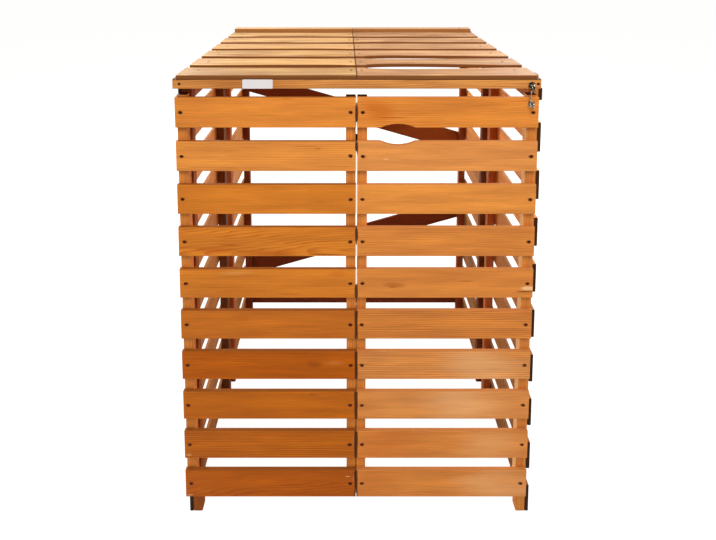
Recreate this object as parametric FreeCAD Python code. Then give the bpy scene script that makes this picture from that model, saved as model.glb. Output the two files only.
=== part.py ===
import FreeCAD, Part
import math
import os

# Wheelie bin store: a slatted timber box with an open back, two lifting lids
# and a two-leaf folding door. Millimetres, +Z up, front towards -Y.
# The parts are laid out from the front face of the doors, then all are moved
# back together so that the origin is on the ground under the middle.

V = FreeCAD.Vector
X_AXIS = V(1, 0, 0)
Y_AXIS = V(0, 1, 0)
Z_AXIS = V(0, 0, 1)

# Timber sections
slat_width = 88.0            # every slat is cut from the same board
slat_thickness = 11.0
batten = 28.0                # square framing timber
arris = 2.0                  # rounding of slat edges
batten_arris = 2.5           # rounding of framing edges

# Body
clear_width = 979.0          # between the posts, for two 480 mm bins
body_depth = 800.0           # side slats of two panels, front to rear
body_height = 1389.0         # top of the front posts
side_slat_count = 9
side_drop = 38.0             # top of the side panels below the front posts
narrow_slat = 36.0           # slat that closes each side panel at the top
narrow_gap = 67.0            # under the narrow slat
panel_gap = 1.0              # between the two panels of a side
panel_inset = 32.0           # panel joint to a middle batten

# Front: header rail and folding doors
front_shift = -11.0          # the whole front sits this far to the left
header_gap = 24.4            # daylight between header and door slats
door_ground_gap = 102.0      # daylight under the lowest door slat
door_slat_count = 10
seam_gap = 2.0               # between the slats of the two leaves
stile_inset = 1.5            # slat ends stand past the stiles
stile_rise = 3.0             # stiles stand past the top and bottom slats
door_back_gap = 3.2          # room for the folded hinge plates

# Finger grip between the two top slats of the right leaf
grip_width = 103.0
grip_depth = 12.0            # bite into each of the two slats
grip_from_seam = 116.5       # seam edge of the leaf to the grip's middle

# Lids
lid_slat_count = 6
lid_seam_gap = 1.5
lid_overhang = 2.0           # in front of the header
lid_rest_gap = 0.3           # lid slats over the header
lid_rear_space = 110.7       # rear posts stand this far behind the lids
lid_rail_gap = 22.0          # last slat to the raised rear rail
lid_rail_depth = 40.0
lid_rail_height = 23.5
lid_inner_inset = 0.5        # seam edge of a lid to its inner batten
lid_side_clearance = 3.0     # outer batten to the post
lid_batten_start = 5.0       # battens start behind the header

# Back: bottom rail and two braces, by heights on the left and right posts
back_rail_height = 42.0
upper_brace = (1139.0, 845.0)
lower_brace = (233.0, 526.0)
back_screw_inset = 6.0       # inner face of a post to the screws of the back

# Butt hinges of the door, and those of the lids
hinge_length = 50.0
hinge_leaf = 25.0            # pin to the free edge of a plate
hinge_plate = 1.5
hinge_knuckle = 3.0
hinge_pin = 1.4
hinge_gaps = (1, 7)          # gaps between side slats with a door hinge
seam_hinge_heights = (263.0, 1188.0)
lid_hinge_length = 60.0
lid_hinge_leaf = 18.0        # pin to the top of the lid's plate
lid_hinge_plate = 2.0
lid_hinge_knuckle = 4.0
lid_hinge_pin = 1.9
lid_hinge_inset = 70.0       # lid end to hinge end
strap_reach = 28.0           # fixed plate on the rear board
pin_clearance = 0.05         # radial, pin in knuckle
knuckle_clearance = 0.4      # round and between knuckles
plate_clearance = 0.2        # beside a knuckle

# Screws: countersunk wood screws, and small ones for the hinge plates
screw_head = 4.0             # radius
screw_shank = 2.0            # radius
screw_length = 30.0
header_screw_length = 65.0
rail_screw_length = 45.0     # through the raised rail of a lid
end_screw_inset = 8.0        # from a timber's end or edge
small_head = 2.6
small_shank = 1.3
small_length = 9.0

# Hook and screw eyes
wire = 1.75                  # radius
eye_ring = 7.75              # centre line radius
eye_neck = 0.5               # ring to its round plate
eye_shank = 1.6
eye_length = 22.0            # in the wood
eye_plate = 1.5
eye_plate_radius = 10.0
eye_inset = 26.5             # right end of the header to the eyes
upper_eye_rise = 10.5        # bottom of the header to the upper eye
lower_eye_drop = 19.1        # top of the doors to the lower eye
hook_loop = 4.6              # centre line radius
hook_lean = 3.0              # degrees, shank off the vertical
hook_bend = 4.5              # centre line radius at the foot
hook_tip = 4.5               # past the lower eye
hook_tip_rounding = 1.2

# Blank label on the header
label_left = 332.0           # body centre to the label's left end
label_length = 85.0
label_margin = 1.0
label_plate = 0.8

# Worked out places
post_inner = clear_width / 2
post_outer = post_inner + batten
body_side = post_outer + slat_thickness
door_thickness = slat_thickness + batten
body_front = door_thickness + door_back_gap
body_rear = body_front + body_depth
panel_joint = (body_front + body_rear) / 2
header_bottom = body_height - batten
header_left = -body_side
header_right = 2 * front_shift + body_side
door_top = header_bottom - header_gap
door_pitch = (door_top - door_ground_gap - slat_width) / (door_slat_count - 1)
side_top = body_height - side_drop
full_slats_top = side_top - narrow_slat - narrow_gap
side_pitch = (full_slats_top - slat_width) / (side_slat_count - 1)
side_gap = side_pitch - slat_width
post_pin_x = -body_side + hinge_knuckle
post_pin_y = door_thickness + door_back_gap / 2
seam_pin_y = door_thickness + hinge_knuckle + plate_clearance
stile_face = seam_gap / 2 + stile_inset
door_left_edge = post_pin_x + hinge_knuckle - stile_inset
door_right_edge = 2 * front_shift - door_left_edge
seam_left = front_shift - seam_gap / 2
seam_right = front_shift + seam_gap / 2
lid_bottom = body_height + lid_rest_gap
lid_half = post_outer - abs(front_shift)
lid_rail_rear = body_rear - lid_rear_space
lid_rail_front = lid_rail_rear - lid_rail_depth
lid_pitch = (lid_rail_front - lid_rail_gap - slat_width + lid_overhang) / (lid_slat_count - 1)
lid_pin_y = lid_rail_rear + lid_hinge_knuckle + plate_clearance
lid_pin_z = body_height + lid_hinge_knuckle
rear_post_top = body_height - slat_thickness
rear_board_front = body_rear - slat_width
back_rear = body_rear + slat_thickness
level_rail = (back_rail_height + slat_width / 2, back_rail_height + slat_width / 2)
eye_x = header_right - eye_inset
eye_y = -(eye_plate + eye_neck + eye_ring + wire)
upper_eye_z = header_bottom + upper_eye_rise
lower_eye_z = door_top - lower_eye_drop
middle_y = (eye_y - eye_ring - wire + back_rear) / 2

LEFT_POST = (-post_outer, -post_inner)
RIGHT_POST = (post_inner, post_outer)
DOOR_STILES = {
    "left_outer": door_left_edge + stile_inset,
    "left_inner": seam_left - stile_inset - batten,
    "right_inner": seam_right + stile_inset,
    "right_outer": door_right_edge - stile_inset - batten,
}


# Shapes that everything is made of
def bar(x, y, z, along, radius):
    """A timber between pairs of x, y and z, rounded on its edges along one axis."""
    box = Part.makeBox(x[1] - x[0], y[1] - y[0], z[1] - z[0], V(x[0], y[0], z[0]))
    edges = [e for e in box.Edges if e.tangentAt(e.FirstParameter).cross(along).Length < 0.1]
    return box.makeFillet(radius, edges)


def slat(x, y, z, along):
    return bar(x, y, z, along, arris)


def post(x, y, z, along=Z_AXIS):
    return bar(x, y, z, along, batten_arris)


def countersunk(head_at, direction, head, shank, length):
    """A screw with its flat head at head_at, pointing along direction."""
    sink = head - shank
    cone = Part.makeCone(head, shank, sink, head_at, direction)
    start = head_at + direction * sink
    return cone.fuse(Part.makeCylinder(shank, length - sink, start, direction)).removeSplitter()


def wood_screw(head_at, direction, length=screw_length):
    return countersunk(head_at, direction, screw_head, screw_shank, length)


def small_screw(head_at, direction):
    return countersunk(head_at, direction, small_head, small_shank, small_length)


def bored(solid, tools):
    """The solid with a hole of the same shape for each tool that reaches it."""
    reached = [t for t in tools if solid.BoundBox.intersect(t.BoundBox)]
    return solid.cut(reached) if reached else solid


def all_bored(solids, tools):
    return [bored(solid, tools) for solid in solids]


def moved(solid, at, *turns):
    """A copy turned about the axes through the origin, one after another, then moved."""
    copy = solid.copy()
    for axis, angle in turns:
        copy.rotate(V(0, 0, 0), axis, angle)
    copy.translate(at)
    return copy


def hinge_half(length, leaf, plate, radius, pin, plate_low, middle):
    """Half a butt hinge, its pin on the Z axis and its plate towards +X.

    Of the three knuckles, the middle one is on one half and the others on the other.
    """
    third = length / 3
    gap = knuckle_clearance / 2
    centre = [(third + gap, 2 * third - gap)]
    ends = [(0, third - gap), (2 * third + gap, length)]
    own, other = (centre, ends) if middle else (ends, centre)
    solid = Part.makeBox(leaf, plate, length, V(0, plate_low, 0))
    for low, high in other:
        start = V(0, 0, low - knuckle_clearance)
        height = high - low + 2 * knuckle_clearance
        solid = solid.cut(Part.makeCylinder(radius + knuckle_clearance, height, start))
    for low, high in own:
        solid = solid.fuse(Part.makeCylinder(radius, high - low, V(0, 0, low)))
    bore = Part.makeCylinder(pin + pin_clearance, 3 * length, V(0, 0, -length))
    return solid.removeSplitter().cut(bore)


def screw_places(start, length):
    """Two screws along a hinge, one in each end third."""
    return start + length / 6, start + length * 5 / 6


# Body timber
def side_panel(x, y):
    """Full slats from the ground up, and the narrow slat at the top."""
    rows = [(i * side_pitch, i * side_pitch + slat_width) for i in range(side_slat_count)]
    rows.append((side_top - narrow_slat, side_top))
    return [slat(x, y, z, Y_AXIS) for z in rows]


def middle_batten_places():
    before = (panel_joint - panel_inset - batten, panel_joint - panel_inset)
    behind = (panel_joint + panel_inset, panel_joint + panel_inset + batten)
    return before, behind


def top_rail_bays():
    """The stretches between the uprights of a side that a top rail fills."""
    before, behind = middle_batten_places()
    return (body_front + batten, before[0]), (behind[1], body_rear - batten)


def top_rail_height():
    low = side_top - narrow_slat
    return low, low + batten


def side_screws(side):
    """Screws of one side, driven from outside; side is -1 on the left, 1 on the right."""
    rows = [i * side_pitch + slat_width / 2 for i in range(side_slat_count)]
    rows.append(side_top - narrow_slat / 2)
    uprights = [body_front + batten / 2, body_rear - batten / 2]
    uprights += [sum(place) / 2 for place in middle_batten_places()]
    points = [(y, z) for y in uprights for z in rows]
    points += [(sum(bay) / 2, sum(top_rail_height()) / 2) for bay in top_rail_bays()]
    return [wood_screw(V(side * body_side, y, z), X_AXIS * -side) for y, z in points]


def body_timber():
    front = (body_front, body_front + batten)
    rear = (body_rear - batten, body_rear)
    front_panel = (body_front, panel_joint - panel_gap / 2)
    rear_panel = (panel_joint + panel_gap / 2, body_rear)
    timber = {}
    for name, x, slats_x in (("left", LEFT_POST, (-body_side, -post_outer)),
                             ("right", RIGHT_POST, (post_outer, body_side))):
        timber["front_post_" + name] = [post(x, front, (0, body_height))]
        timber["rear_post_" + name] = [post(x, rear, (0, rear_post_top))]
        timber["middle_battens_" + name] = [post(x, y, (0, side_top)) for y in middle_batten_places()]
        timber["top_rails_" + name] = [post(x, y, top_rail_height(), Y_AXIS) for y in top_rail_bays()]
        timber["side_slats_%s_front" % name] = side_panel(slats_x, front_panel)
        timber["side_slats_%s_rear" % name] = side_panel(slats_x, rear_panel)
    timber["header"] = [post((header_left, header_right), (0, body_front),
                             (header_bottom, body_height), X_AXIS)]
    return timber


def header_screws():
    z = (header_bottom + body_height) / 2
    places = (-post_outer + end_screw_inset, header_right - end_screw_inset)
    return [wood_screw(V(x, 0, z), Y_AXIS, header_screw_length) for x in places]


# Back timber
def back_slat(left_height, right_height):
    """A slat across the back, by its middle heights where it crosses the posts."""
    span = post_inner + post_outer
    lean = math.degrees(math.atan2(right_height - left_height, span))
    level = slat((-span, span), (body_rear, back_rear), (-slat_width / 2, slat_width / 2), X_AXIS)
    leaning = moved(level, V(0, 0, (left_height + right_height) / 2), (Y_AXIS, -lean))
    return leaning.common(Part.makeBox(2 * post_outer, slat_thickness, body_height,
                                       V(-post_outer, body_rear, 0)))


def back_slat_screws(left_height, right_height):
    x = post_inner + back_screw_inset
    points = [(side * x, height + lift) for side, height in ((-1, left_height), (1, right_height))
              for lift in (-slat_width / 4, slat_width / 4)]
    return [wood_screw(V(x, back_rear, z), -Y_AXIS) for x, z in points]


def rear_top():
    rail_z = (rear_post_top - batten, rear_post_top)
    rail = post((-post_inner, post_inner), (body_rear - batten, body_rear), rail_z, X_AXIS)
    board = slat((-post_outer, post_outer), (rear_board_front, body_rear),
                 (rear_post_top, body_height), X_AXIS)
    return rail, board


def rear_top_screws():
    """Down through the board near its rear edge, and into the rail's ends."""
    post_middle = post_inner + batten / 2
    screws = [wood_screw(V(x, body_rear - end_screw_inset, body_height), -Z_AXIS)
              for x in (-post_middle, 0, post_middle)]
    for side in (-1, 1):
        end = V(side * post_outer, body_rear - batten + end_screw_inset, rear_post_top - batten / 2)
        screws.append(wood_screw(end, X_AXIS * -side, header_screw_length))
    return screws


# Door timber
def door_slats(left, right):
    """Slats of one leaf, from the top down."""
    tops = [door_top - i * door_pitch for i in range(door_slat_count)]
    return [slat((left, right), (0, slat_thickness), (z - slat_width, z), X_AXIS) for z in tops]


def stile(x):
    return post((x, x + batten), (slat_thickness, door_thickness),
                (door_ground_gap - stile_rise, door_top + stile_rise))


def door_screws(stile_lefts):
    rows = [door_top - i * door_pitch - slat_width / 2 for i in range(door_slat_count)]
    return [wood_screw(V(x + batten / 2, 0, z), Y_AXIS) for x in stile_lefts for z in rows]


def grip_cutters():
    """Round bars whose arcs bite into the slats above and below the grip."""
    radius = ((grip_width / 2) ** 2 + grip_depth ** 2) / (2 * grip_depth)
    x = seam_right + grip_from_seam
    above = door_top - slat_width + grip_depth - radius
    below = door_top - door_pitch - grip_depth + radius
    return [Part.makeCylinder(radius, 3 * slat_thickness, V(x, -slat_thickness, z), Y_AXIS)
            for z in (above, below)]


# Hinges. Each function returns the two halves, the pins, and the screws of each half
def door_hinge_half(plate_low, middle):
    return hinge_half(hinge_length, hinge_leaf, hinge_plate, hinge_knuckle, hinge_pin,
                      plate_low, middle)


def post_hinges():
    """Door hinges folded between the left post and the left stile."""
    fixed, swinging, pins, fixed_screws, swinging_screws = [], [], [], [], []
    half_gap = door_back_gap / 2
    x = post_pin_x + (hinge_knuckle + hinge_leaf) / 2
    for i in hinge_gaps:
        start = i * side_pitch + slat_width + (side_gap - hinge_length) / 2
        at = V(post_pin_x, post_pin_y, start)
        fixed.append(moved(door_hinge_half(half_gap - hinge_plate, False), at))
        swinging.append(moved(door_hinge_half(-half_gap, True), at))
        pins.append(moved(Part.makeCylinder(hinge_pin, hinge_length), at))
        for z in screw_places(start, hinge_length):
            fixed_screws.append(small_screw(V(x, body_front - hinge_plate, z), Y_AXIS))
            swinging_screws.append(small_screw(V(x, door_thickness + hinge_plate, z), -Y_AXIS))
    return fixed, swinging, pins, fixed_screws, swinging_screws


def seam_hinges():
    """Door hinges in the gap between the inner stiles, pins behind the doors."""
    left, right, pins, left_screws, right_screws = [], [], [], [], []
    y = seam_pin_y - (hinge_knuckle + hinge_leaf) / 2
    inner = stile_face - hinge_plate
    for height in seam_hinge_heights:
        start = height - hinge_length / 2
        at = V(front_shift, seam_pin_y, start)
        left.append(moved(door_hinge_half(-stile_face, False), at, (Z_AXIS, -90)))
        right.append(moved(door_hinge_half(inner, True), at, (Z_AXIS, -90)))
        pins.append(moved(Part.makeCylinder(hinge_pin, hinge_length), at))
        for z in screw_places(start, hinge_length):
            left_screws.append(small_screw(V(front_shift - inner, y, z), -X_AXIS))
            right_screws.append(small_screw(V(front_shift + inner, y, z), X_AXIS))
    return left, right, pins, left_screws, right_screws


def lid_hinge_half(leaf, plate_low, middle):
    half = hinge_half(lid_hinge_length, leaf, lid_hinge_plate, lid_hinge_knuckle, lid_hinge_pin,
                      plate_low, middle)
    return moved(half, V(0, 0, 0), (Y_AXIS, 90))


def lid_span(side, near_seam, far):
    """The x range between two distances to the seam's middle; side is -1 or 1."""
    return tuple(sorted((front_shift + side * near_seam, front_shift + side * far)))


def lid_hinges(side):
    """Hinges behind one lid, with long fixed plates that reach the rear board."""
    fixed, lifting, pins, fixed_screws, lifting_screws = [], [], [], [], []
    fixed_leaf = rear_board_front + strap_reach - lid_pin_y
    fixed_half = lid_hinge_half(fixed_leaf, -lid_hinge_knuckle, False)
    lifting_low = lid_hinge_knuckle + plate_clearance - lid_hinge_plate
    lifting_half = lid_hinge_half(lid_hinge_leaf, lifting_low, True)
    pin = moved(Part.makeCylinder(lid_hinge_pin, lid_hinge_length), V(0, 0, 0), (Y_AXIS, 90))
    strap_y = rear_board_front + strap_reach / 2
    plate_z = lid_pin_z + (lid_hinge_knuckle + lid_hinge_leaf) / 2
    low, high = lid_span(side, lid_seam_gap / 2, lid_half)
    for start in (low + lid_hinge_inset, high - lid_hinge_inset - lid_hinge_length):
        at = V(start, lid_pin_y, lid_pin_z)
        fixed.append(moved(fixed_half, at, (X_AXIS, 90)))
        lifting.append(moved(lifting_half, at, (X_AXIS, 180)))
        pins.append(moved(pin, at))
        for x in screw_places(start, lid_hinge_length):
            fixed_screws.append(small_screw(V(x, strap_y, body_height + lid_hinge_plate), -Z_AXIS))
            lifting_screws.append(small_screw(V(x, lid_rail_rear + lid_hinge_plate, plate_z), -Y_AXIS))
    return fixed, lifting, pins, fixed_screws, lifting_screws


# Lid timber
def lid_slats(side):
    x = lid_span(side, lid_seam_gap / 2, lid_half)
    fronts = [i * lid_pitch - lid_overhang for i in range(lid_slat_count)]
    boards = [slat(x, (y, y + slat_width), (lid_bottom, lid_bottom + slat_thickness), X_AXIS)
              for y in fronts]
    rail = post(x, (lid_rail_front, lid_rail_rear), (lid_bottom, lid_bottom + lid_rail_height), X_AXIS)
    return boards + [rail]


def lid_batten_places():
    """Distances from the seam's middle to the near faces of the two battens."""
    return lid_seam_gap / 2 + lid_inner_inset, lid_half - batten - lid_side_clearance - batten


def lid_battens(side):
    y = (body_front + lid_batten_start, lid_rail_rear)
    z = (lid_bottom - batten, lid_bottom)
    return [post(lid_span(side, near, near + batten), y, z, Y_AXIS) for near in lid_batten_places()]


def lid_screws(side):
    screws = []
    front_most = body_front + lid_batten_start + end_screw_inset
    for near in lid_batten_places():
        x = front_shift + side * (near + batten / 2)
        for i in range(lid_slat_count):
            y = max(i * lid_pitch - lid_overhang + slat_width / 2, front_most)
            screws.append(wood_screw(V(x, y, lid_bottom + slat_thickness), -Z_AXIS))
        rail_top = V(x, (lid_rail_front + lid_rail_rear) / 2, lid_bottom + lid_rail_height)
        screws.append(wood_screw(rail_top, -Z_AXIS, rail_screw_length))
    return screws


# Screw eyes, and the hook that hangs from the upper one
def eye_thread(z):
    return Part.makeCylinder(eye_shank, eye_length, V(eye_x, 0, z), Y_AXIS)


def screw_eye(z):
    """A ring across the front, its round plate, and the shank into the wood."""
    ring = Part.makeTorus(eye_ring, wire, V(eye_x, eye_y, z), X_AXIS)
    plate = Part.makeCylinder(eye_plate_radius, eye_plate, V(eye_x, -eye_plate, z), Y_AXIS)
    neck_start = eye_y + eye_ring
    neck = Part.makeCylinder(eye_shank, eye_length - neck_start, V(eye_x, neck_start, z), Y_AXIS)
    return ring.fuse([plate, neck]).removeSplitter()


def hook():
    """One wire: an open loop, a leaning shank, a bend, and a level tip.

    The loop hangs on the lowest stretch of the upper eye, just clear of its wire.
    The shank hangs to the left of the eyes, and the tip points to the right.
    """
    hang = hook_loop - 2 * wire - pin_clearance
    loop_z = upper_eye_z - eye_ring - hang
    lean = math.radians(hook_lean)
    quarter = math.pi / 2

    def at(x, z):
        return V(eye_x - x, eye_y, loop_z + z)

    def on_arc(centre, radius, angle):
        return at(centre[0] + radius * math.cos(angle), centre[1] + radius * math.sin(angle))

    def arc(centre, radius, first, last):
        points = [on_arc(centre, radius, angle) for angle in (first, (first + last) / 2, last)]
        return Part.Arc(*points).toShape()

    tip_z = lower_eye_z - loop_z
    bend_z = tip_z + hook_bend
    bend = ((hook_loop - hook_bend - bend_z * math.sin(lean)) / math.cos(lean), bend_z)
    loop = ((0, 0), hook_loop)
    tip = at(-hook_tip, tip_z)
    path = Part.Wire([
        arc(*loop, lean + 3 * quarter, lean + quarter),
        arc(*loop, lean + quarter, lean),
        Part.makeLine(on_arc(*loop, lean), on_arc(bend, hook_bend, lean)),
        arc(bend, hook_bend, lean, -quarter),
        Part.makeLine(on_arc(bend, hook_bend, -quarter), tip),
    ])
    open_end = on_arc(*loop, lean + 3 * quarter)
    section = Part.Wire([Part.Circle(open_end, tangent(lean + 3 * quarter), wire).toShape()])
    rod = path.makePipeShell([section], True, False)
    at_tip = [e for e in rod.Edges if abs(e.BoundBox.XMax - tip.x) < hook_tip_rounding / 2]
    return rod.makeFillet(hook_tip_rounding, at_tip)


def tangent(angle):
    """The direction of the hook's loop at an angle, in the plane of the front."""
    return V(-math.sin(angle), 0, -math.cos(angle))


def blank_label():
    return bar((-label_left, -label_left + label_length), (-label_plate, 0),
               (header_bottom + label_margin, body_height - label_margin), Y_AXIS, arris)


# The nodes, body by body
def frame_nodes(post_hinge, left_lid_hinge, right_lid_hinge):
    timber = body_timber()
    rail, board = rear_top()
    timber["rear_top_rail"] = [rail]
    timber["rear_top_board"] = [board]
    timber["back_bottom_rail"] = [back_slat(*level_rail)]
    timber["back_brace_upper"] = [back_slat(*upper_brace)]
    timber["back_brace_lower"] = [back_slat(*lower_brace)]
    screws = side_screws(-1) + side_screws(1) + header_screws() + rear_top_screws()
    for heights in (level_rail, upper_brace, lower_brace):
        screws += back_slat_screws(*heights)
    plates, pins = [], []
    for hinge in (post_hinge, left_lid_hinge, right_lid_hinge):
        plates += hinge[0]
        pins += hinge[2]
        screws += hinge[3]
    tools = screws + [eye_thread(upper_eye_z)]
    nodes = {name: all_bored(solids, tools) for name, solids in timber.items()}
    nodes["blank_label"] = [blank_label()]
    nodes["upper_eye"] = [screw_eye(upper_eye_z)]
    nodes["frame_hinges"] = all_bored(plates, screws) + pins
    nodes["frame_screws"] = screws
    return nodes


def leaf_nodes(name, slats, stiles, plates, pins, screws, tools):
    """One door leaf, its slats numbered from the top."""
    nodes = {"door_%s_slat_%02d" % (name, i + 1): [bored(solid, tools)]
             for i, solid in enumerate(slats)}
    for place in stiles:
        nodes["door_%s_stile" % place] = [bored(stile(DOOR_STILES[place]), tools)]
    nodes["door_%s_hinges" % name] = all_bored(plates, screws) + pins
    nodes["door_%s_screws" % name] = screws
    return nodes


def door_nodes(post_hinge, seam_hinge):
    left_stiles = ("left_outer", "left_inner")
    left_screws = door_screws([DOOR_STILES[place] for place in left_stiles])
    left_screws += post_hinge[4] + seam_hinge[3]
    nodes = leaf_nodes("left", door_slats(door_left_edge, seam_left), left_stiles,
                       post_hinge[1] + seam_hinge[0], seam_hinge[2], left_screws, left_screws)
    right_stiles = ("right_inner", "right_outer")
    right_screws = door_screws([DOOR_STILES[place] for place in right_stiles]) + seam_hinge[4]
    right_slats = door_slats(seam_right, door_right_edge)
    right_slats[:2] = [board.cut(cutter) for board, cutter in zip(right_slats, grip_cutters())]
    nodes.update(leaf_nodes("right", right_slats, right_stiles, seam_hinge[1], [], right_screws,
                            right_screws + [eye_thread(lower_eye_z)]))
    nodes["lower_eye"] = [screw_eye(lower_eye_z)]
    return nodes


def lid_nodes(name, side, hinge):
    screws = lid_screws(side) + hinge[4]
    return {
        "lid_%s_slats" % name: all_bored(lid_slats(side), screws),
        "lid_%s_battens" % name: all_bored(lid_battens(side), screws),
        "lid_%s_hinges" % name: all_bored(hinge[1], screws),
        "lid_%s_screws" % name: screws,
    }


at_post = post_hinges()
at_seam = seam_hinges()
at_left_lid = lid_hinges(-1)
at_right_lid = lid_hinges(1)
parts = frame_nodes(at_post, at_left_lid, at_right_lid)
parts.update(door_nodes(at_post, at_seam))
parts.update(lid_nodes("left", -1, at_left_lid))
parts.update(lid_nodes("right", 1, at_right_lid))
parts["hook"] = [hook()]

os.makedirs("parts", exist_ok=True)
for node, solids in parts.items():
    shape = solids[0] if len(solids) == 1 else Part.makeCompound(solids)
    moved(shape, V(0, -middle_y, 0)).exportStep("parts/%s.step" % node)
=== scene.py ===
import math
import random

import bpy
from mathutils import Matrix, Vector


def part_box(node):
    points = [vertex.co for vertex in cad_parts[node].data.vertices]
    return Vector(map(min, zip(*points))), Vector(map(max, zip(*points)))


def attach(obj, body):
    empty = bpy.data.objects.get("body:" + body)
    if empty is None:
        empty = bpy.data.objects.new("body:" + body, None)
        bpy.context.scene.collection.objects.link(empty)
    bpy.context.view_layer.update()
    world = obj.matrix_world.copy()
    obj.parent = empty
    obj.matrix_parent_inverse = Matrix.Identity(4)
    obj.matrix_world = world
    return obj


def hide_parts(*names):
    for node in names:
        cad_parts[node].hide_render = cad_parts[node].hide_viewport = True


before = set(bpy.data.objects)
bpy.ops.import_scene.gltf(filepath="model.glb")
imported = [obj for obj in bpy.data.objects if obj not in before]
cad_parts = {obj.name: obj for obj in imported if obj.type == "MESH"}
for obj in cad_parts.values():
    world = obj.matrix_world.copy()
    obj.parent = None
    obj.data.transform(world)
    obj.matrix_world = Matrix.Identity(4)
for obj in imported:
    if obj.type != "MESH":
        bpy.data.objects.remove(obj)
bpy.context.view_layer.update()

scene = bpy.context.scene
scene.view_settings.view_transform = "Standard"


# Camera
# A wide lens a little above the lids, 1.26 m in front of the doors and tipped
# down by 4.5 degrees. The shift brings the foot of the store into the frame.
PICTURE = (716, 540)
FOCAL_LENGTH = 460.0          # in pixels of the picture
PICTURE_CENTRE = (344.7, -13.4)
camera_data = bpy.data.cameras.new("camera")
camera_data.sensor_width = 36.0
camera_data.lens = FOCAL_LENGTH / PICTURE[0] * camera_data.sensor_width
camera_data.shift_x = (PICTURE[0] / 2 - PICTURE_CENTRE[0]) / PICTURE[0]
camera_data.shift_y = (PICTURE_CENTRE[1] - PICTURE[1] / 2) / PICTURE[0]
camera = bpy.data.objects.new("camera", camera_data)
camera.location = (-0.04495, -1.68087, 1.74884)
camera.rotation_euler = (math.pi / 2 - 0.0787, 0, 0)
scene.collection.objects.link(camera)
scene.camera = camera


# Studio
# A white floor that runs out of the picture and a white surround. One broad lamp
# hangs high in front, and two stand behind and light the inside through the back.
def linear(code):
    """An sRGB hex value as linear red, green and blue, with an alpha of 1."""
    parts = [int(code[i:i + 2], 16) / 255 for i in (1, 3, 5)]
    return [c / 12.92 if c <= 0.04045 else ((c + 0.055) / 1.055) ** 2.4 for c in parts] + [1.0]


def add(tree, kind, inputs=None, **settings):
    """Adds a node with its settings; each input is a value, or what to link to it.

    A node among the inputs stands for its first output.
    """
    node = tree.nodes.new(kind)
    for name, value in settings.items():
        setattr(node, name, value)
    for key, value in (inputs or {}).items():
        if isinstance(value, bpy.types.Node):
            value = value.outputs[0]
        if isinstance(value, bpy.types.NodeSocket):
            tree.links.new(value, node.inputs[key])
        else:
            node.inputs[key].default_value = value
    return node


def empty_material(name):
    """A new material, and its tree with no nodes yet."""
    material = bpy.data.materials.new(name)
    material.use_nodes = True
    material.node_tree.nodes.clear()
    return material, material.node_tree


def white_where_seen(tree, lit, seen):
    """Shows one shader to the camera, and lights the object with the other."""
    camera_ray = add(tree, "ShaderNodeLightPath").outputs["Is Camera Ray"]
    return add(tree, "ShaderNodeMixShader", {0: camera_ray, 1: lit, 2: seen})


world = bpy.data.worlds.new("studio")
world.use_nodes = True
scene.world = world
tree = world.node_tree
tree.nodes.clear()
ambient = add(tree, "ShaderNodeBackground", {"Color": linear("#fffaf3"), "Strength": 0.36})
white = add(tree, "ShaderNodeBackground", {"Color": (1, 1, 1, 1), "Strength": 1.0})
add(tree, "ShaderNodeOutputWorld", {"Surface": white_where_seen(tree, ambient, white)})

FLOOR_REACH = 20.0
corners = [(x * FLOOR_REACH, y * FLOOR_REACH, 0) for x, y in ((-1, -1), (1, -1), (1, 1), (-1, 1))]
floor_mesh = bpy.data.meshes.new("floor")
floor_mesh.from_pydata(corners, [], [(0, 1, 2, 3)])
floor = bpy.data.objects.new("floor", floor_mesh)
scene.collection.objects.link(floor)
# matt paper that stays white in the picture, but for a faint shadow under the store
material, tree = empty_material("white_floor_paper")
paper = add(tree, "ShaderNodeBsdfDiffuse", {"Color": linear("#e2e0dc")})
faint = add(tree, "ShaderNodeBsdfDiffuse", {"Color": linear("#8a8a8a")})
glow = add(tree, "ShaderNodeEmission", {"Color": (1, 1, 1, 1), "Strength": 0.9})
seen = add(tree, "ShaderNodeAddShader", {0: faint, 1: glow})
add(tree, "ShaderNodeOutputMaterial", {"Surface": white_where_seen(tree, paper, seen)})
floor_mesh.materials.append(material)

# where each lamp hangs and what it faces, its width, all in metres, and its watts
for name, place, target, size, power in (
        ("front_lamp", (0.3, -2.5, 4.2), (0, -0.2, 0.8), 2.0, 128),
        ("rear_left_lamp", (-2.3, 2.6, 1.9), (0.3, 0.2, 0.7), 1.8, 125),
        ("rear_right_lamp", (2.3, 2.6, 1.9), (-0.3, 0.2, 0.7), 1.8, 95)):
    lamp_data = bpy.data.lights.new(name, "AREA")
    lamp_data.shape = "DISK"
    lamp_data.size = size
    lamp_data.energy = power
    lamp_data.color = linear("#fff6ea")[:3]
    lamp = bpy.data.objects.new(name, lamp_data)
    lamp.location = place
    lamp.rotation_euler = (Vector(target) - Vector(place)).to_track_quat("-Z", "Y").to_euler()
    scene.collection.objects.link(lamp)


# Posts and battens of the body
# Square battens of planed fir stand at the corners and behind the joint of each
# side. Their stain is darker and redder than the slats', and on the rear posts and
# one middle batten of each side painted shade darkens it further, as the doors and
# lids shade them; the front posts are painted lighter where light reaches them, the
# right one most.
AXES = {"X": (1, 0, 0), "Y": (0, 1, 0), "Z": (0, 0, 1)}
# the turn that lays a board along one of the axes down on X
TURNS = {"X": (0, 0, 0), "Y": (0, 0, -math.pi / 2), "Z": (0, math.pi / 2, 0)}


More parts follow.
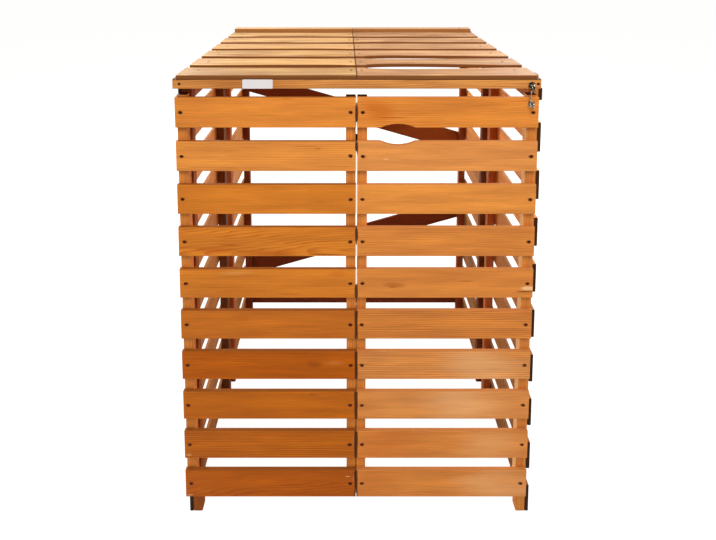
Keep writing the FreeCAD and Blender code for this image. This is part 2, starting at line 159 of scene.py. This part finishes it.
def stained_fir(name, stain, along, heart, ring, middle, seed, tilt=0.0, bands=0.5, patches=0.3,
                rows=None, tones=(), marks=(), narrow=(), end="#6e3417"):
    """Planed fir under a thin oil stain.

    The stain darkens the wood but hides nothing: the eye gets fine brown lines of
    late wood, arched where the board leans in the log, silky fibres, cloudy patches
    where the stain pooled, and dark ends. along is the axis of the board's length,
    and middle its middle in metres. heart is the middle of the tree, in mm from the
    board's middle along its two short ways, ring the width of a year, and tilt the
    board's lean in the log, in radians. bands and patches are the strength of the
    lines and of the clouds.
    rows is an axis and a pitch in mm, for like boards side by side in one piece, and
    tones says how much light each of them sends back, from the first one on.
    marks are knots, scratches and paler patches: place along and across, half sizes,
    colour, and how firmly they cover the wood, from a soft 0.3 to 0.85 with an edge.
    narrow gives the axis that narrow faces look along, and their colour.
    """
    material, tree = empty_material(name)
    coords = add(tree, "ShaderNodeTexCoord").outputs["Object"]
    place = add(tree, "ShaderNodeVectorMath", {0: coords, 1: middle}, operation="SUBTRACT")
    place = add(tree, "ShaderNodeVectorMath", {0: place, "Scale": 1000.0}, operation="SCALE")
    lot = seed
    if rows:
        # each board of the row comes from another part of the log
        axis, pitch = rows
        count = add(tree, "ShaderNodeVectorMath", {0: place, 1: AXES[axis]},
                    operation="DOT_PRODUCT").outputs["Value"]
        count = add(tree, "ShaderNodeMath", {0: count, 1: pitch}, operation="DIVIDE")
        count = add(tree, "ShaderNodeMath", {0: count}, operation="ROUND")
        lot = add(tree, "ShaderNodeMath", {0: count, 1: seed})
        back = add(tree, "ShaderNodeMath", {0: count, 1: -pitch}, operation="MULTIPLY")
        back = add(tree, "ShaderNodeVectorMath", {0: AXES[axis], "Scale": back}, operation="SCALE")
        place = add(tree, "ShaderNodeVectorMath", {0: place, 1: back})
    # how far the place in the log differs from board to board, in mm
    chance = add(tree, "ShaderNodeTexWhiteNoise", {"W": lot}, noise_dimensions="1D")
    chance = add(tree, "ShaderNodeVectorMath", {0: chance.outputs["Color"], 1: (0.5, 0.5, 0.5)},
                 operation="SUBTRACT")
    spread = (3000, 60, 60) if rows else (3000, 6, 6)
    shift = add(tree, "ShaderNodeVectorMath", {0: chance, 1: spread}, operation="MULTIPLY")
    turned = add(tree, "ShaderNodeMapping", {"Vector": place, "Rotation": TURNS[along]})
    moved = add(tree, "ShaderNodeVectorMath", {0: turned, 1: shift})
    # patterns drawn out along the board: length and width in mm, and detail
    drawn_out = []
    for length, width, detail in (
            (420, 9, 2.0),        # bands, in which the rings lie closer or are stronger
            (320, 60, 1.0),       # the wander of the rings
            (60, 1.5, 2.0),       # fibres, coarser than the real ones so that they show
            (240, 26, 3.0)):      # clouds of stain, left by the brush
        scale = (1 / length, 1 / width, 1 / width)
        stretched = add(tree, "ShaderNodeMapping", {"Vector": moved, "Scale": scale})
        drawn_out.append(add(tree, "ShaderNodeTexNoise", {"Vector": stretched, "Scale": 1.0,
                                                          "Detail": detail}))
    streaks, wander, fibre, pool = drawn_out
    # the rings wander by 2 mm in a straight board, and by more in a leaning one, and
    # they crowd together and part again by nearly as much from band to band
    astray, crowding = 8 + 400 * tilt, 7
    log = add(tree, "ShaderNodeMapping", {"Vector": turned, "Rotation": (0, tilt, tilt),
                                          "Location": (0, heart[0], heart[1])})
    for source, amount in ((wander.outputs["Color"], astray),
                           (streaks.outputs["Color"], crowding), (shift, 1)):
        push = add(tree, "ShaderNodeVectorMath", {0: source, 1: (0, amount, amount)},
                   operation="MULTIPLY")
        log = add(tree, "ShaderNodeVectorMath", {0: log, 1: push})
    # 0.314 over the ring's width, because at scale 1 the wave's rings are 0.314 apart
    rings = add(tree, "ShaderNodeTexWave", {"Vector": log, "Scale": 0.314 / ring, "Distortion": 0.9,
                                            "Detail": 2.0, "Detail Scale": 0.4},
                wave_type="RINGS", rings_direction="X", wave_profile="SAW").outputs["Fac"]
    # late wood comes slowly in the second half of a year, and stops at its end
    late = add(tree, "ShaderNodeValToRGB", {"Fac": rings})
    year = late.color_ramp.elements
    year[0].position, year[0].color = 0.4, (0, 0, 0, 1)
    year[1].position, year[1].color = 0.9, (1, 1, 1, 1)
    year.new(1.0).color = (0.2, 0.2, 0.2, 1)
    strength = add(tree, "ShaderNodeMapRange", {"Value": streaks, "To Min": bands * 0.35,
                                                "To Max": bands, "From Min": 0.35,
                                                "From Max": 0.65})
    late = add(tree, "ShaderNodeMath", {0: late, 1: strength}, operation="MULTIPLY")
    # in a mix of colours, 6 and 7 are the two colours and 2 is the result
    colour = add(tree, "ShaderNodeMix", {"Factor": late, 6: linear(stain), 7: linear("#c0965e")},
                 data_type="RGBA", blend_type="MULTIPLY").outputs[2]
    # clouds, bands and fibres each make the wood a little darker or lighter
    tone = 1.0
    for source, low, high in ((pool, 1 - patches * 0.5, 1 + patches * 0.35),
                              (streaks, 1 - bands * 0.16, 1 + bands * 0.12), (fibre, 0.91, 1.07)):
        share = add(tree, "ShaderNodeMapRange", {"Value": source, "From Min": 0.3, "From Max": 0.7,
                                                 "To Min": low, "To Max": high})
        tone = add(tree, "ShaderNodeMath", {0: tone, 1: share}, operation="MULTIPLY")
    if tones:
        share = add(tree, "ShaderNodeMath", {0: count, 1: 0.5})
        share = add(tree, "ShaderNodeMath", {0: share, 1: len(tones)}, operation="DIVIDE")
        share = add(tree, "ShaderNodeValToRGB", {"Fac": share})
        steps = share.color_ramp
        steps.interpolation = "CONSTANT"
        steps.elements.remove(steps.elements[1])
        for i, light in enumerate(tones):
            step = steps.elements.new(i / len(tones)) if i else steps.elements[0]
            step.color = (light, light, light, 1)
        tone = add(tree, "ShaderNodeMath", {0: tone, 1: share}, operation="MULTIPLY")
    colour = add(tree, "ShaderNodeHueSaturation", {"Color": colour, "Value": tone})
    # where the stain pooled it is redder, and elsewhere the yellow of the wood shows
    thin = add(tree, "ShaderNodeMapRange", {"Value": pool, "From Min": 0.35, "From Max": 0.65})
    cast = add(tree, "ShaderNodeMix", {"Factor": thin, 6: linear("#fff0e2"), 7: linear("#fff9de")},
               data_type="RGBA").outputs[2]
    colour = add(tree, "ShaderNodeMix", {"Factor": patches * 2, 6: colour, 7: cast},
                 data_type="RGBA", blend_type="MULTIPLY").outputs[2]
    # each mark is an oval whose edge wobbles as the rings wander, and the more firmly
    # it covers the wood, the nearer to its edge it begins to fade
    wobble = add(tree, "ShaderNodeVectorMath", {0: wander.outputs["Color"], 1: (1.2, 0, 1.2)},
                 operation="MULTIPLY")
    wobble = add(tree, "ShaderNodeVectorMath", {0: wobble, 1: (0.6, 0, 0.6)}, operation="SUBTRACT")
    for x, across, half_long, half_wide, shade, cover in marks:
        away = add(tree, "ShaderNodeMapping", {"Vector": turned,
                                               "Location": (-x / half_long, 0, -across / half_wide),
                                               "Scale": (1 / half_long, 0, 1 / half_wide)})
        away = add(tree, "ShaderNodeVectorMath", {0: away, 1: wobble})
        away = add(tree, "ShaderNodeVectorMath", {0: away}, operation="LENGTH").outputs["Value"]
        inside = add(tree, "ShaderNodeMapRange", {"Value": away, "From Min": max(cover - 0.4, 0),
                                                  "To Min": cover, "To Max": 0.0},
                     interpolation_type="SMOOTHSTEP")
        colour = add(tree, "ShaderNodeMix", {"Factor": inside, 6: colour, 7: linear(shade)},
                     data_type="RGBA").outputs[2]
    # sawn ends, and narrow faces where they differ, by which way the surface points
    true_normal = add(tree, "ShaderNodeNewGeometry").outputs["True Normal"]
    facing = add(tree, "ShaderNodeVectorTransform", {"Vector": true_normal}, vector_type="NORMAL",
                 convert_from="WORLD", convert_to="OBJECT")
    for axis, shade in (*narrow, (along, end)):
        square = add(tree, "ShaderNodeVectorMath", {0: facing, 1: AXES[axis]},
                     operation="DOT_PRODUCT").outputs["Value"]
        square = add(tree, "ShaderNodeMath", {0: square}, operation="ABSOLUTE")
        square = add(tree, "ShaderNodeMapRange", {"Value": square, "From Min": 0.45,
                                                  "From Max": 0.85, "To Max": 0.95})
        colour = add(tree, "ShaderNodeMix", {"Factor": square, 6: colour, 7: linear(shade)},
                     data_type="RGBA").outputs[2]
    # fibres and late wood stand a little proud, and the oil leaves a satin skin
    height = add(tree, "ShaderNodeMath", {0: rings, 1: fibre})
    bump = add(tree, "ShaderNodeBump", {"Height": height, "Strength": 0.2, "Distance": 0.0005})
    gloss = add(tree, "ShaderNodeMapRange", {"Value": streaks, "To Min": 0.48, "To Max": 0.62})
    surface = add(tree, "ShaderNodeBsdfPrincipled", {"Base Color": colour, "Roughness": gloss,
                                                     "IOR": 1.45, "Specular IOR Level": 0.14,
                                                     "Normal": bump})
    add(tree, "ShaderNodeOutputMaterial", {"Surface": surface})
    return material


def dress(material, *nodes):
    """Gives carried-over pieces one material."""
    for name in nodes:
        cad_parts[name].data.materials[0] = material


def middle_of(node):
    """The middle of a node's box, in metres."""
    low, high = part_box(node)
    return tuple((a + b) / 2 for a, b in zip(low, high))


# the dark red-brown of the battens: stain with painted shade in it
BATTEN_STAIN_AND_SHADE = "#783819"
# the front posts are painted lighter, as painted light, the right one most, and the rear posts
# darker, as painted shade
for node, stain, seed in (("front_post_left", "#a05a20", 1), ("front_post_right", "#dc9448", 2),
                          ("rear_post_left", BATTEN_STAIN_AND_SHADE, 3), ("rear_post_right", "#94502a", 4)):
    dress(stained_fir("fir_" + node, stain, "Z", heart=(30, 25), ring=3, tilt=0.01, seed=seed,
                      middle=middle_of(node)), node)
BATTEN_PITCH = 92.0           # between the two battens in the middle of a side
# the darker tone of one batten of each pair is painted shade
for node, seed, tones in (("middle_battens_left", 5, (0.34, 1.0)),
                          ("middle_battens_right", 6, (1.0, 0.38))):
    # the rows are counted from the middle of the front one of the two
    x, y, z = middle_of(node)
    dress(stained_fir("fir_" + node, "#ae6434", "Z", heart=(30, 25), ring=3, seed=seed, tones=tones,
                      rows=("Y", BATTEN_PITCH), middle=(x, y - BATTEN_PITCH / 2000, z)), node)
dress(stained_fir("fir_top_rails", "#c87e3e", "Y", heart=(30, 25), ring=3, seed=7,
                  middle=middle_of("top_rails_left")), "top_rails_left", "top_rails_right")


# Sides
# Planed fir slats, nine full ones and a narrow one to a panel, screwed to the
# battens from outside. They are light at the top and painted darker towards the
# ground, as painted shade on the lower slats, and dark on the sawn ends, which
# drink more of the stain.
SIDE_PITCH = 145.0
LOWEST_SLAT_MIDDLE = 0.044    # above the ground
# from the lowest slat up: painted shade that darkens the slats towards the ground
SIDE_PAINTED_SHADE = {"left": (0.48, 0.5, 0.52, 0.56, 0.62, 0.7, 0.82, 0.93, 1.0, 1.0),
              "right": (0.34, 0.35, 0.37, 0.4, 0.48, 0.62, 0.84, 0.96, 1.0, 1.0)}
for side, end, seed in (("left", "front", 11), ("left", "rear", 31),
                        ("right", "front", 51), ("right", "rear", 71)):
    node = "side_slats_%s_%s" % (side, end)
    x, y, z = middle_of(node)
    dress(stained_fir("fir_" + node, "#eea763", "Y", heart=(50, 60), ring=4, tilt=0.01, seed=seed,
                      rows=("Z", SIDE_PITCH), tones=SIDE_PAINTED_SHADE[side],
                      middle=(x, y, LOWEST_SLAT_MIDDLE), end="#220a05"), node)


# Back
# A batten and a flat board across the top, and three slats across the opening.
# Two of them slant and keep the posts square. They have the battens' dark stain,
# deepened with painted shade, and the stain has come off one end of the upper brace through wear.
for node, seed in (("rear_top_rail", 21), ("rear_top_board", 22), ("back_bottom_rail", 23),
                   ("back_brace_upper", 24), ("back_brace_lower", 25)):
    paler_part = ((330, -100, 240, 150, "#b4662c", 0.6),) if node == "back_brace_upper" else ()
    dress(stained_fir("fir_" + node, BATTEN_STAIN_AND_SHADE, "X", heart=(50, 70), ring=4, tilt=0.01,
                      seed=seed, middle=middle_of(node), marks=paler_part), node)


# Header
# One batten on edge across the front, planed and stained like the doors, and
# screwed through its face into the front posts.
# a painted shadow: a dark line along the top of the face, under the front edge of the lids
shadow_under_lids = (0, 14, 3000, 3.4, "#4a2410", 0.85)
rich_end = (-330, -4, 260, 40, "#a8642a", 0.4)
dress(stained_fir("fir_header", "#d99c5e", "X", heart=(12, 34), ring=7, tilt=0.03, bands=0.8,
                  patches=0.4, marks=(shadow_under_lids, rich_end), seed=2.3,
                  middle=middle_of("header")), "header")


# Door slats
# Ten fir slats to a leaf, screwed to two stiles. They come from several logs: the
# upper ones took a honey tone, the lower left ones a redder and darker one.
STAINS = {"straw": "#eb9f50", "honey": "#e69645", "amber": "#dd8b33", "copper": "#cf7b2a",
          "chestnut": "#c87218", "russet": "#bf650a", "peach": "#e2954c", "apricot": "#e79f5c"}
# heart behind and across, ring, tilt and strength of the bands
CUTS = {"quarter": (30, 170, 3.6, 0.004, 0.5), "rift": (60, 95, 4.2, 0.012, 0.55),
        "flat": (30, 18, 6.5, 0.05, 0.65), "lined": (20, 220, 6.0, 0.001, 0.95)}
BOARDS = {
    "left": (("honey", "quarter"), ("straw", "rift"), ("amber", "quarter"), ("amber", "flat"),
             ("amber", "rift"), ("copper", "rift"), ("russet", "rift"), ("chestnut", "quarter"),
             ("chestnut", "lined"), ("russet", "flat")),
    "right": (("honey", "rift"), ("apricot", "quarter"), ("straw", "quarter"), ("peach", "rift"),
              ("peach", "quarter"), ("peach", "lined"), ("apricot", "lined"),
              ("apricot", "quarter"), ("peach", "rift"), ("peach", "rift")),
}
# knots and resin streaks, broad paler or richer patches, the raw wood of scratches
# and of a torn end, and a painted highlight along the seam on the two lowest left slats
RAW = "#f6cf9c"
MARKS = {
    "door_left_slat_01": ((60, 40, 22, 2, "#b0641e", 0.7), (-20, -8, 70, 2, "#c47a30", 0.7)),
    "door_left_slat_02": ((150, 22, 14, 3, "#a85c1a", 0.7), (120, 30, 50, 2, "#bd722a", 0.7)),
    "door_left_slat_04": ((-158, -24, 110, 14, "#b4500c", 0.5), (18, -32, 110, 12, "#bc5812", 0.5),
                          (-108, -9, 40, 4, "#9c4808", 0.6), (182, -37, 75, 2.5, "#7a3c10", 0.7)),
    "door_left_slat_05": ((-102, 32, 70, 12, "#f0b060", 0.4), (68, -31, 50, 3, "#a05a18", 0.6),
                          (200, 31, 50, 12, "#bc5e16", 0.4)),
    "door_left_slat_07": ((135, 2, 30, 12, "#8e440c", 0.6), (190, 8, 40, 10, "#d58c4c", 0.35)),
    "door_left_slat_08": ((130, 34, 16, 2, "#7a3a10", 0.8),),
    # on the two lowest left slats, the pale strip at the seam end is a painted highlight on the
    # edge of the gap
    "door_left_slat_09": ((-243, -32, 12, 6, "#d8a878", 0.6), (250, 14, 2, 26, "#b89078", 0.6)),
    "door_left_slat_10": ((233, 24, 9, 1.4, RAW, 0.85), (-245, -36, 14, 5, "#d8a878", 0.6),
                          (249, 18, 2, 18, "#b89078", 0.6)),
    "door_right_slat_01": ((-190, 0, 60, 40, "#c9681c", 0.6), (-150, -14, 60, 3, "#b05c16", 0.7)),
    "door_right_slat_02": ((-175, -8, 11, 1.6, RAW, 0.85),),
    "door_right_slat_05": ((-142, -4, 44, 10, "#b5682a", 0.7), (-150, -10, 16, 3, "#a8561c", 0.7),
                           (60, 8, 34, 3, "#b0641f", 0.6), (238, -25, 34, 3, "#7a3c14", 0.85),
                           (246, -15, 30, 8, RAW, 0.9)),
    "door_right_slat_07": ((110, 0, 190, 90, "#fbcf9c", 0.36),),
    "door_right_slat_08": ((70, 10, 210, 90, "#fccf9c", 0.38), (-230, 0, 90, 80, "#b8662a", 0.3)),
    "door_right_slat_09": ((-160, 0, 160, 80, "#cc6420", 0.36), (150, 6, 150, 80, "#fac992", 0.34)),
    "door_right_slat_10": ((-200, 10, 110, 80, "#c0641f", 0.32),
                           (180, 0, 180, 90, "#fac992", 0.36)),
}
SEAM_EDGE = {"left": 255, "right": -255}      # from a slat's middle
SCREWS = (-239.5, 239.5)
# at the seam the ends of the upper five slats of each leaf are painted pale, as painted light from
# the bright gap, and those of the lower ones dark, as painted shade in the gap
LIT_SEAM_ROWS = 5
SEAM_PAINTED_LIGHT = (2.5, 300, "#f3dcb8", 0.6)
SEAM_PAINTED_SHADE = (4, 300, "#42200a", 0.85)
# painted shade on the pale ends, where the gap is dark: middle and half height
SHADOWS_ON_PALE_ENDS = {1: (-5, 34), 2: (30, 32), 4: (22, 34), 5: (-27, 32)}
# the top edges of the slats: darker where the stain soaks in, with painted shade under the slat
# above, less on the right leaf
NARROW_FACES = {"left": (("Z", "#8a4f1c"),), "right": (("Z", "#bd7c45"),)}
LEAF_SEEDS = {"left": 4, "right": 5}
for leaf, boards in BOARDS.items():
    for row, (tone, cut) in enumerate(boards, 1):
        node = "door_%s_slat_%02d" % (leaf, row)
        behind, across, ring, tilt, bands = CUTS[cut]
        side = random.Random(row * LEAF_SEEDS[leaf]).choice((-1, 1))
        # the wood round each screw is torn along the fibres and dark
        marks = [*MARKS.get(node, ()), *((x, 0, 9, 6.5, "#35120a", 0.85) for x in SCREWS)]
        marks.append((SEAM_EDGE[leaf], 0, *(SEAM_PAINTED_LIGHT if row <= LIT_SEAM_ROWS else SEAM_PAINTED_SHADE)))
        if row in SHADOWS_ON_PALE_ENDS:
            dark_middle, half_high = SHADOWS_ON_PALE_ENDS[row]
            marks.append((SEAM_EDGE[leaf], dark_middle, 3.4, half_high, "#321408", 0.9))
        dress(stained_fir("fir_" + node, STAINS[tone], "X", heart=(-behind, side * across),
                          ring=ring, tilt=side * tilt, bands=bands, marks=marks,
                          seed=row + 0.1 * LEAF_SEEDS[leaf], middle=middle_of(node),
                          narrow=NARROW_FACES[leaf],
                          # the ends of the upper slats are painted pale, as painted light at the
                          # bright seam
                          end="#b87c40" if row <= LIT_SEAM_ROWS else "#6e3417"), node)


# Door stiles
# Square fir battens behind the slats, one along each end of a leaf. The two at the
# seam have bowed in their lower half and nearly meet there, so that the plates of the
# lower hinge have sunk into them, and they are cut a little short at the top.
STEPS_ALONG = 80
STEPS_ROUND_ARRIS = 3


def board_rows(low, high, arris, lift):
    """The cross sections of a planed board from end to end, pushed up by lift(x, y)."""
    rows = []
    for step in range(STEPS_ALONG + 1):
        x = low.x + (high.x - low.x) * step / STEPS_ALONG
        row = []
        for y, z, start in ((high.y, high.z, 0), (low.y, high.z, 90), (low.y, low.z, 180),
                            (high.y, low.z, 270)):
            centre_y = y + math.copysign(arris, low.y + high.y - 2 * y)
            centre_z = z + math.copysign(arris, low.z + high.z - 2 * z)
            for part in range(STEPS_ROUND_ARRIS + 1):
                angle = math.radians(start + part * 90 / STEPS_ROUND_ARRIS)
                point_y = centre_y + arris * math.cos(angle)
                point_z = centre_z + arris * math.sin(angle)
                row.append((x, point_y, point_z + lift(x, point_y)))
        rows.append(row)
    return rows


def board_piece(name, body, node, material, boards, upright=False):
    """A piece of one or more boards, given by their cross sections, for a node."""
    points, faces = [], []
    for rows in boards:
        first, around = len(points), len(rows[0])
        points += [point for row in rows for point in row]
        for i in range(len(rows) - 1):
            start = first + i * around
            faces += [(start + k, start + around + k, start + around + (k + 1) % around,
                       start + (k + 1) % around) for k in range(around)]
        faces.append(tuple(range(first, first + around)))
        faces.append(tuple(reversed(range(len(points) - around, len(points)))))
    if upright:
        # the board's length stands up, and the faces are turned to keep pointing outward
        points = [(z, y, x) for x, y, z in points]
        faces = [tuple(reversed(face)) for face in faces]
    mesh = bpy.data.meshes.new(name)
    mesh.from_pydata(points, [], faces)
    mesh.validate()
    mesh.materials.append(material)
    piece = bpy.data.objects.new(name, mesh)
    scene.collection.objects.link(piece)
    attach(piece, body)
    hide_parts(node)
    return piece


STILE_ARRIS = 0.0025
BOW = 0.0023                  # the seam is 0.005 wide between the stiles
BOW_STARTS, BOW_GROWS = 0.785, 0.1      # its height above the ground, and its way down to full
CUT_SHORT = 0.0065            # to just under the edge of the top slat
for node, seed in (("door_left_outer_stile", 41), ("door_left_inner_stile", 42),
                   ("door_right_inner_stile", 43), ("door_right_outer_stile", 44)):
    # the side face of the last stile by the open post is painted pale, a painted highlight
    paler_part = (("X", "#f0c68c"),) if node == "door_right_outer_stile" else ()
    towards = {"door_left_inner_stile": 1, "door_right_inner_stile": -1}.get(node, 0)
    # where the two stiles nearly meet, a dark line along the seam is painted shade in the narrow
    # gap
    seam = (-470, -16.5 * towards, 560, 2.4, "#4a240e", 0.85)
    material = stained_fir("fir_" + node, "#df9048", "Z", heart=(40, 30), ring=3.5, tilt=0.01,
                           seed=seed, middle=middle_of(node), narrow=paler_part,
                           marks=(seam,) if towards else (), end="#3c1a0e")
    if not towards:
        dress(material, node)
        continue

    def bowed(z, y, most=BOW * towards):
        return most * min(max((BOW_STARTS - z) / BOW_GROWS, 0), 1)

    low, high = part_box(node)
    top = Vector((high.z - CUT_SHORT, high.y, high.x))
    rows = board_rows(Vector(low.zyx), top, STILE_ARRIS, bowed)
    body = node[:node.index("_inner")]
    stile = board_piece("bowed_" + node, body, node, material, [rows], upright=True)


# Lids
# Six slats and a raised rear rail to a lid, screwed to two battens. Sun and rain
# have bleached the tops to a pale tan, and a few slats have warped between them.
LID_SLAT_WIDE, LID_SLAT_THICK, LID_SLAT_ARRIS = 0.088, 0.011, 0.002
LID_SLATS, LID_PITCH = 6, 0.1167
RAIL_GAP = 0.022              # between the last slat and the raised rail
# from a lid's two edges to the free part of its slats, between the battens
SEAM_REACH, OUTER_REACH = 0.0285, 0.0585
CUP_STARTS = 0.35             # share of a slat's width, from which its rear part bends
# how far the front edge of a slat has lifted, and its rear edge, in metres
WARPS = {("left", 0): (0.0008, -0.001), ("left", 1): (0.0012, -0.0005),
         ("left", 2): (-0.0006, 0.0012), ("left", 3): (0.001, 0.0004),
         ("left", 4): (-0.0005, 0.001), ("left", 5): (0.0004, -0.0008),
         ("right", 0): (0.0, -0.005), ("right", 1): (0.0047, -0.002),
         ("right", 2): (0.0032, 0.0002), ("right", 3): (-0.0005, 0.0008),
         ("right", 4): (0.001, -0.0006), ("right", 5): (-0.0004, 0.0008)}
LID_TONES = {"left": (0.7, 0.86, 0.84, 1.0, 0.96, 0.94),
             "right": (0.89, 0.84, 1.0, 0.91, 0.95, 0.9)}
KNOT = (-165, 0, 9, 7, "#6b2c0c", 0.85)
for side, stain, seed in (("left", "#f5cfa2", 61), ("right", "#e3bb9b", 81)):
    node = "lid_%s_slats" % side
    low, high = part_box(node)
    seam, far = (high.x, low.x) if side == "left" else (low.x, high.x)
    boards = []
    for row in range(LID_SLATS):
        front = low.y + row * LID_PITCH
        ends = WARPS[side, row]

        def lift(x, y, front=front, ends=ends):
            free = (abs(x - seam) - SEAM_REACH) / (abs(far - seam) - SEAM_REACH - OUTER_REACH)
            if not 0 < free < 1:
                return 0.0
            # most about a quarter of the way from the seam, where this comes to 1
            swell = free ** 0.45 * (1 - free) ** 1.1 / 0.40
            share = min(max((y - front) / LID_SLAT_WIDE, 0), 1)
            rear = max(share - CUP_STARTS, 0) / (1 - CUP_STARTS)
            return swell * (ends[0] * (1 - share) + ends[1] * rear)

        front_low = Vector((low.x, front, low.z))
        rear_high = Vector((high.x, front + LID_SLAT_WIDE, low.z + LID_SLAT_THICK))
        boards.append(board_rows(front_low, rear_high, LID_SLAT_ARRIS, lift))
    # the slats' ends at the seam are darker along a thin line
    seam_end = ((seam - far) / 2 * 1000, 0, 3, 300, "#5a3418", 0.6)
    middle = ((low.x + high.x) / 2, low.y + LID_SLAT_WIDE / 2, low.z)
    material = stained_fir("fir_" + node, stain, "X", heart=(50, 70), ring=5.5, tilt=0.01,
                           bands=1.0, patches=0.55, seed=seed, rows=("Y", LID_PITCH * 1000),
                           tones=LID_TONES[side], marks=(seam_end,), middle=middle,
                           # the front and rear edges of the slats are dark: the stain, deepened
                           # with painted shade in the gaps
                           narrow=(("Y", "#7c4a22"),))
    slats = board_piece("warped_" + node, "lid_" + side, node, material, boards)
    last_slat = low.y + (LID_SLATS - 1) * LID_PITCH
    rail_low = Vector((low.x, last_slat + LID_SLAT_WIDE + RAIL_GAP, low.z))
    material = stained_fir("fir_lid_%s_rail" % side, stain, "X", heart=(30, 25), ring=4,
                           seed=seed + 9, middle=tuple((rail_low + high) / 2),
                           marks=(seam_end if side == "left" else KNOT,),
                           narrow=(("Y", "#a8703c"),))
    rows = board_rows(rail_low, high, STILE_ARRIS, lambda x, y: 0.0)
    rail = board_piece("lid_%s_rail" % side, "lid_" + side, node, material, [rows])
for node, seed in (("lid_left_battens", 91), ("lid_right_battens", 95)):
    dress(stained_fir("fir_" + node, "#c98545", "Y", heart=(40, 30), ring=3.5, seed=seed,
                      middle=middle_of(node)), node)


# Hook and screw eyes
# Bent steel wire under a dark bronze plate that is rubbed bright in patches. The
# eyes are screwed into the header and the door, and the hook hangs on the upper one.
def plated_steel(name, bright, dark, patch, rough):
    """Plated steel that flashes where it is rubbed, and is darker and duller between.

    patch is the size of the dark patches in mm.
    """
    material, tree = empty_material(name)
    coords = add(tree, "ShaderNodeTexCoord").outputs["Object"]
    patches = add(tree, "ShaderNodeTexNoise", {"Vector": coords, "Scale": 1000 / patch,
                                               "Detail": 2.0})
    kept = add(tree, "ShaderNodeMapRange", {"Value": patches, "From Min": 0.46, "From Max": 0.56})
    colour = add(tree, "ShaderNodeMix", {"Factor": kept, 6: linear(bright), 7: linear(dark)},
                 data_type="RGBA").outputs[2]
    dull = add(tree, "ShaderNodeMapRange", {"Value": kept, "To Min": rough, "To Max": rough + 0.25})
    surface = add(tree, "ShaderNodeBsdfPrincipled", {"Base Color": colour, "Metallic": 1.0,
                                                     "Roughness": dull})
    add(tree, "ShaderNodeOutputMaterial", {"Surface": surface})
    return material


dress(plated_steel("dark_bronze_plate", "#efe5d6", "#2d2119", patch=6, rough=0.15),
      "hook", "upper_eye", "lower_eye")


# Hinges
# Butt hinges folded from steel strip round their pins, painted a satin black
# and screwed to the edges of the stiles, the posts and the lids' rear rails.
material, tree = empty_material("black_painted_steel")
coords = add(tree, "ShaderNodeTexCoord").outputs["Object"]
# a skin of paint with an orange peel about 1.5 mm across, 650 of them to a metre
peel = add(tree, "ShaderNodeTexNoise", {"Vector": coords, "Scale": 650.0, "Detail": 1.0})
bump = add(tree, "ShaderNodeBump", {"Height": peel, "Strength": 0.2, "Distance": 0.0003})
gloss = add(tree, "ShaderNodeMapRange", {"Value": peel, "To Min": 0.35, "To Max": 0.5})
surface = add(tree, "ShaderNodeBsdfPrincipled", {"Base Color": linear("#17110e"), "IOR": 1.5,
                                                 "Roughness": gloss, "Normal": bump})
add(tree, "ShaderNodeOutputMaterial", {"Surface": surface})
dress(material, "door_left_hinges", "door_right_hinges", "frame_hinges", "lid_left_hinges",
      "lid_right_hinges")


# Screws
# Countersunk steel screws with a brown plating, one through each end of a slat,
# driven flush with the wood.
dress(plated_steel("brown_plated_steel", "#5c2c18", "#3a1a0e", patch=3, rough=0.35),
      "frame_screws", "door_left_screws", "door_right_screws", "lid_left_screws",
      "lid_right_screws")


# Label
# A small plate of white sheet plastic, glued to the header on the left. It is
# left blank.
material, tree = empty_material("white_sheet_plastic")
coords = add(tree, "ShaderNodeTexCoord").outputs["Object"]
# a matt face with a faint mottle 2 mm across
mottle = add(tree, "ShaderNodeTexNoise", {"Vector": coords, "Scale": 1000 / 2})
gloss = add(tree, "ShaderNodeMapRange", {"Value": mottle, "To Min": 0.5, "To Max": 0.65})
tint = add(tree, "ShaderNodeMapRange", {"Value": mottle, "To Min": 0.95, "To Max": 1.04})
shade = add(tree, "ShaderNodeHueSaturation", {"Color": linear("#e2e4ee"), "Value": tint})
surface = add(tree, "ShaderNodeBsdfPrincipled", {"Base Color": shade, "IOR": 1.46,
                                                 "Roughness": gloss})
add(tree, "ShaderNodeOutputMaterial", {"Surface": surface})
dress(material, "blank_label")


bpy.context.view_layer.update()
